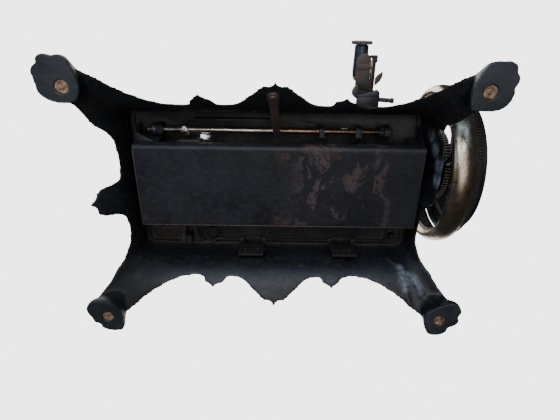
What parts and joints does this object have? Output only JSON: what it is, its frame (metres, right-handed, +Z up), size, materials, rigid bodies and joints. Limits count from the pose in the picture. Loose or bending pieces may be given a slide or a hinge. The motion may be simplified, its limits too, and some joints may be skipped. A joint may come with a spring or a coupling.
{
  "type": "hand-cranked sewing machine head on a footed cast-iron base",
  "caption": "Antique hand-cranked cast-iron sewing machine: tilting head with works box below, geared handwheel, bobbin winder, on an ornamental base with splayed paw feet.",
  "frame": {"origin": "centre of the whole part's box at the level of the foot soles", "axes": "+X to the operator's right, towards the hand wheel; +Y to the back, where the head's hinges are; +Z up"},
  "size_m": [0.457, 0.2903, 0.2702],
  "materials": {
    "japanned_iron": "worn black japanning",
    "box_black": "black paint with rust patches",
    "nickel": "tarnished nickel plate",
    "steel": "oiled bright steel",
    "brown_steel": "steel browned by rust",
    "dark_steel": "greasy dark steel",
    "blued_steel": "blued steel",
    "wood": "varnished turned wood",
    "plug": "cork-like plug, dusty"
  },
  "bodies": {
    "base": {"base_casting": "japanned_iron", "foot_plug_front_left": "plug", "foot_plug_front_right": "plug", "foot_plug_rear_left": "plug", "foot_plug_rear_right": "plug", "hinge_leaf_left": "dark_steel", "hinge_leaf_right": "dark_steel", "hinge_pin_left": "steel", "hinge_pin_right": "steel", "latch_screw": "brown_steel"},
    "latch": {"head_latch": "brown_steel"},
    "head": {"bed_plate": "japanned_iron", "arm_casting": "japanned_iron", "face_plate": "nickel", "needle_plate": "steel", "slide_plate_right": "steel", "underbed_box": "box_black", "rear_cover_plate": "dark_steel", "bed_hinge_left": "dark_steel", "bed_hinge_right": "dark_steel", "wheel_stand": "japanned_iron", "spool_pin": "steel", "tension_disc": "nickel", "winder_bracket": "dark_steel"},
    "slide": {"slide_plate_left": "steel"},
    "rock": {"feed_rock_shaft": "steel", "shaft_collar_left": "blued_steel", "shaft_collar_bright": "nickel", "feed_strap_middle": "dark_steel", "feed_strap_right": "dark_steel", "shaft_end_collar": "dark_steel"},
    "feed": {"feed_bar": "steel", "feed_dog": "steel"},
    "lever": {"shuttle_lever": "steel"},
    "carrier": {"shuttle_carrier": "steel", "shuttle": "nickel"},
    "drive": {"drive_gear": "dark_steel", "wheel_spider": "japanned_iron", "handwheel_rim": "nickel", "belt_wheel": "japanned_iron", "hub_gear": "dark_steel", "wheel_axle": "steel", "crank_arm": "nickel"},
    "handle": {"crank_handle": "wood"},
    "upper_shaft": {"arm_shaft": "steel", "pinion": "steel"},
    "needle_set": {"needle_bar": "nickel", "needle_clamp": "steel", "needle": "steel"},
    "take_up": {"take_up_lever": "nickel"},
    "presser": {"presser_bar": "nickel", "presser_foot": "nickel"},
    "lifter": {"presser_lifter": "steel"},
    "tension": {"tension_nut": "nickel"},
    "stitch": {"stitch_screw": "nickel"},
    "winder": {"winder_frame": "brown_steel", "winder_rod": "dark_steel", "winder_spring": "dark_steel"},
    "winder_spin": {"winder_spindle": "blued_steel"},
    "winder_catch": {"winder_lever": "brown_steel"}
  },
  "joints": [
    {"name": "head_tilt", "type": "hinge", "parent": "base", "child": "head", "pos_m": [-0.02822, 0.09215, 0.0895], "axis": [-1, 0, 0], "range_deg": [0, 88]},
    {"name": "latch_turn", "type": "hinge", "parent": "base", "child": "latch", "pos_m": [-0.03022, -0.10355, 0.0245], "axis": [0, -0.6369, 0.7709], "range_deg": [-35, 35]},
    {"name": "handwheel_turn", "type": "hinge", "parent": "head", "child": "drive", "pos_m": [-0.02822, -0.01245, 0.11], "axis": [1, 0, 0], "continuous": true},
    {"name": "handle_spin", "type": "hinge", "parent": "drive", "child": "handle", "pos_m": [0.20678, -0.01245, 0.172], "axis": [1, 0, 0], "continuous": true},
    {"name": "arm_shaft_turn", "type": "hinge", "parent": "head", "child": "upper_shaft", "pos_m": [-0.02822, -0.01245, 0.206], "axis": [1, 0, 0], "continuous": true},
    {"name": "feed_rock", "type": "hinge", "parent": "head", "child": "rock", "pos_m": [-0.02822, -0.05795, 0.0795], "axis": [1, 0, 0], "range_deg": [-8, 8]},
    {"name": "feed_slide", "type": "slide", "parent": "head", "child": "feed", "axis": [0, 1, 0], "range_m": [-0.00184, 0.00184]},
    {"name": "shuttle_lever_swing", "type": "hinge", "parent": "head", "child": "lever", "pos_m": [-0.10222, 0.06865, 0.0864], "axis": [0, 0, 1], "range_deg": [-2, 16]},
    {"name": "shuttle_slide", "type": "slide", "parent": "head", "child": "carrier", "axis": [1, 0, 0], "range_m": [-0.00317, 0.0254]},
    {"name": "needle_slide", "type": "slide", "parent": "head", "child": "needle_set", "axis": [0, 0, 1], "range_m": [-0.016, 0.01]},
    {"name": "take_up_slide", "type": "slide", "parent": "head", "child": "take_up", "axis": [0, 0, 1], "range_m": [-0.0105, 0.0066]},
    {"name": "presser_slide", "type": "slide", "parent": "head", "child": "presser", "axis": [0, 0, 1], "range_m": [0, 0.007]},
    {"name": "lifter_turn", "type": "hinge", "parent": "head", "child": "lifter", "pos_m": [-0.13322, 0.01765, 0.199], "axis": [1, 0, 0], "range_deg": [0, 70]},
    {"name": "slide_plate_open", "type": "slide", "parent": "head", "child": "slide", "axis": [1, 0, 0], "range_m": [0, 0.0138]},
    {"name": "tension_turn", "type": "hinge", "parent": "head", "child": "tension", "pos_m": [-0.08822, -0.03395, 0.206], "axis": [0, -1, 0], "range_deg": [-180, 180]},
    {"name": "stitch_turn", "type": "hinge", "parent": "head", "child": "stitch", "pos_m": [0.09378, 0.05265, 0.0938], "axis": [0, 0, 1], "range_deg": [-180, 180]},
    {"name": "winder_swing", "type": "hinge", "parent": "head", "child": "winder", "pos_m": [0.06298, -0.09235, 0.1], "axis": [-1, 0, 0], "range_deg": [0, 20]},
    {"name": "winder_turn", "type": "hinge", "parent": "winder", "child": "winder_spin", "pos_m": [0.05928, -0.11735, 0.108], "axis": [0, 1, 0], "continuous": true},
    {"name": "winder_catch_turn", "type": "hinge", "parent": "winder", "child": "winder_catch", "pos_m": [0.07698, -0.10235, 0.0994], "axis": [0, 0, 1], "range_deg": [0, 30]}
  ],
  "couplings": [
    {"joint": "arm_shaft_turn", "follows": "handwheel_turn", "ratio": -5},
    {"joint": "feed_rock", "follows": "feed_slide", "rad_per_m": 75.758},
    {"joint": "shuttle_lever_swing", "follows": "shuttle_slide", "rad_per_m": 10.989},
    {"joint": "take_up_slide", "follows": "needle_slide", "ratio": 0.65}
  ]
}
